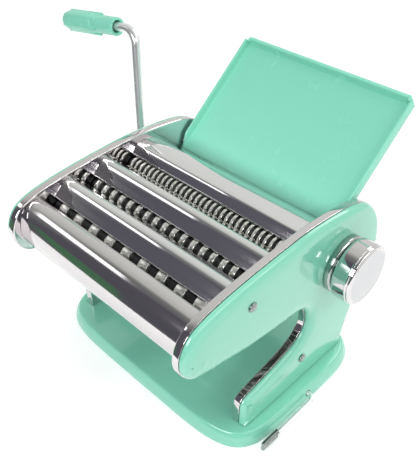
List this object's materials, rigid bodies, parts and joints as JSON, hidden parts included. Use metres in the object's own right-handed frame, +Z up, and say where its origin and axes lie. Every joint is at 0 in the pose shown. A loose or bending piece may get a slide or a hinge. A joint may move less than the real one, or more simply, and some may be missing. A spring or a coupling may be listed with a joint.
{
  "type": "hand-cranked pasta machine",
  "caption": "Table-top pasta machine with a crank, smooth sheet rollers, cutter pairs under slots, a dough tray and a suction base.",
  "frame": {"origin": "centre of the underside, on the table that the suction pad stands on", "axes": "+Z up, +X towards the thickness knob, -X towards the crank, -Y towards the nose with the cutters, +Y towards the dough tray"},
  "size_m": [0.3399, 0.2434, 0.209],
  "materials": {
    "mint_enamel": "glossy enamel",
    "mint_plastic": "gloss",
    "chrome": "mirror polish",
    "steel_sheet": "polished",
    "cutter_steel": "satin, turned",
    "gear_steel": "matt",
    "rubber": "matt"
  },
  "bodies": {
    "machine": {"base_shell": "mint_enamel", "base_plate": "gear_steel", "suction_pad": "rubber", "side_frame_left": "chrome", "side_frame_right": "chrome", "side_cover_left": "mint_enamel", "side_cover_right": "mint_enamel", "cover_screw_left_lower": "chrome", "cover_screw_left_upper": "chrome", "cover_screw_right_lower": "chrome", "cover_screw_right_upper": "chrome", "nose_cover": "steel_sheet", "wide_slot_cover": "steel_sheet", "middle_slot_cover": "steel_sheet", "feed_cover": "steel_sheet", "rear_cover": "steel_sheet", "tie_rod_nose": "steel_sheet", "tie_rod_middle": "steel_sheet", "tie_rod_rear": "steel_sheet", "wide_comb_front": "steel_sheet", "wide_comb_rear": "steel_sheet", "middle_comb_front": "steel_sheet", "middle_comb_rear": "steel_sheet", "fine_comb_front": "steel_sheet", "fine_comb_rear": "steel_sheet", "roller_scraper_front": "steel_sheet", "roller_scraper_back": "steel_sheet", "dial_ring": "chrome"},
    "lever": {"suction_lever": "chrome", "lever_grip_pad": "chrome"},
    "plunger": {"suction_plunger": "gear_steel"},
    "knob_shaft": {"knob_spindle": "gear_steel"},
    "knob": {"thickness_knob": "chrome"},
    "roller_carrier": {"eccentric_bush_left": "gear_steel", "eccentric_bush_right": "gear_steel"},
    "front_roller": {"front_roller": "steel_sheet", "front_roller_gear": "gear_steel"},
    "back_roller": {"back_roller": "steel_sheet", "back_roller_gear": "gear_steel"},
    "crank": {"crank_rod": "chrome"},
    "grip": {"crank_grip": "mint_plastic"},
    "tray": {"dough_tray": "mint_plastic"},
    "wide_front": {"wide_cutter_front": "cutter_steel", "wide_gear_front": "gear_steel"},
    "wide_rear": {"wide_cutter_rear": "cutter_steel", "wide_gear_rear": "gear_steel"},
    "middle_front": {"middle_cutter_front": "cutter_steel", "middle_gear_front": "gear_steel"},
    "middle_rear": {"middle_cutter_rear": "cutter_steel", "middle_gear_rear": "gear_steel"},
    "fine_front": {"fine_cutter_front": "cutter_steel", "fine_gear_front": "gear_steel"},
    "fine_rear": {"fine_cutter_rear": "cutter_steel", "fine_gear_rear": "gear_steel"}
  },
  "joints": [
    {"name": "lever_turn", "type": "hinge", "parent": "machine", "child": "lever", "pos_m": [0, -0.0015, 0.007], "axis": [-1, 0, 0], "range_deg": [0, 170]},
    {"name": "plunger_lift", "type": "slide", "parent": "machine", "child": "plunger", "axis": [0, 0, 1], "range_m": [0, 0.0014]},
    {"name": "thickness_turn", "type": "hinge", "parent": "machine", "child": "knob_shaft", "pos_m": [0, 0.036, 0.107], "axis": [1, 0, 0], "range_deg": [0, 240]},
    {"name": "knob_pull", "type": "slide", "parent": "knob_shaft", "child": "knob", "axis": [1, 0, 0], "range_m": [0, 0.004], "stiffness_N_per_m": 400},
    {"name": "roller_shift", "type": "slide", "parent": "machine", "child": "roller_carrier", "axis": [0, 1, 0], "range_m": [0, 0.0023]},
    {"name": "front_roller_spin", "type": "hinge", "parent": "roller_carrier", "child": "front_roller", "pos_m": [0, 0.036, 0.107], "axis": [1, 0, 0], "continuous": true},
    {"name": "back_roller_spin", "type": "hinge", "parent": "machine", "child": "back_roller", "pos_m": [0, 0.0636, 0.107], "axis": [1, 0, 0], "continuous": true},
    {"name": "crank_pull", "type": "slide", "parent": "front_roller", "child": "crank", "axis": [-1, 0, 0], "range_m": [0, 0.03]},
    {"name": "grip_spin", "type": "hinge", "parent": "crank", "child": "grip", "pos_m": [-0.15661, 0.05122, 0.20202], "axis": [-0.9863, -0.0261, -0.163], "continuous": true},
    {"name": "tray_lift", "type": "slide", "parent": "machine", "child": "tray", "axis": [0, 0.7694, 0.6388], "range_m": [0, 0.08]},
    {"name": "wide_front_spin", "type": "hinge", "parent": "machine", "child": "wide_front", "pos_m": [0, -0.08875, 0.1253], "axis": [1, 0, 0], "continuous": true},
    {"name": "wide_rear_spin", "type": "hinge", "parent": "machine", "child": "wide_rear", "pos_m": [0, -0.07385, 0.1253], "axis": [1, 0, 0], "continuous": true},
    {"name": "middle_front_spin", "type": "hinge", "parent": "machine", "child": "middle_front", "pos_m": [0, -0.05525, 0.127], "axis": [1, 0, 0], "continuous": true},
    {"name": "middle_rear_spin", "type": "hinge", "parent": "machine", "child": "middle_rear", "pos_m": [0, -0.04035, 0.127], "axis": [1, 0, 0], "continuous": true},
    {"name": "fine_front_spin", "type": "hinge", "parent": "machine", "child": "fine_front", "pos_m": [0, -0.01955, 0.129], "axis": [1, 0, 0], "continuous": true},
    {"name": "fine_rear_spin", "type": "hinge", "parent": "machine", "child": "fine_rear", "pos_m": [0, -0.00465, 0.129], "axis": [1, 0, 0], "continuous": true}
  ],
  "couplings": [
    {"joint": "plunger_lift", "follows": "lever_turn", "m_per_rad": 0.000471},
    {"joint": "thickness_turn", "follows": "roller_shift", "rad_per_m": 1821.2},
    {"joint": "back_roller_spin", "follows": "front_roller_spin", "ratio": -1},
    {"joint": "wide_rear_spin", "follows": "wide_front_spin", "ratio": -1},
    {"joint": "middle_rear_spin", "follows": "middle_front_spin", "ratio": -1},
    {"joint": "fine_rear_spin", "follows": "fine_front_spin", "ratio": -1}
  ]
}
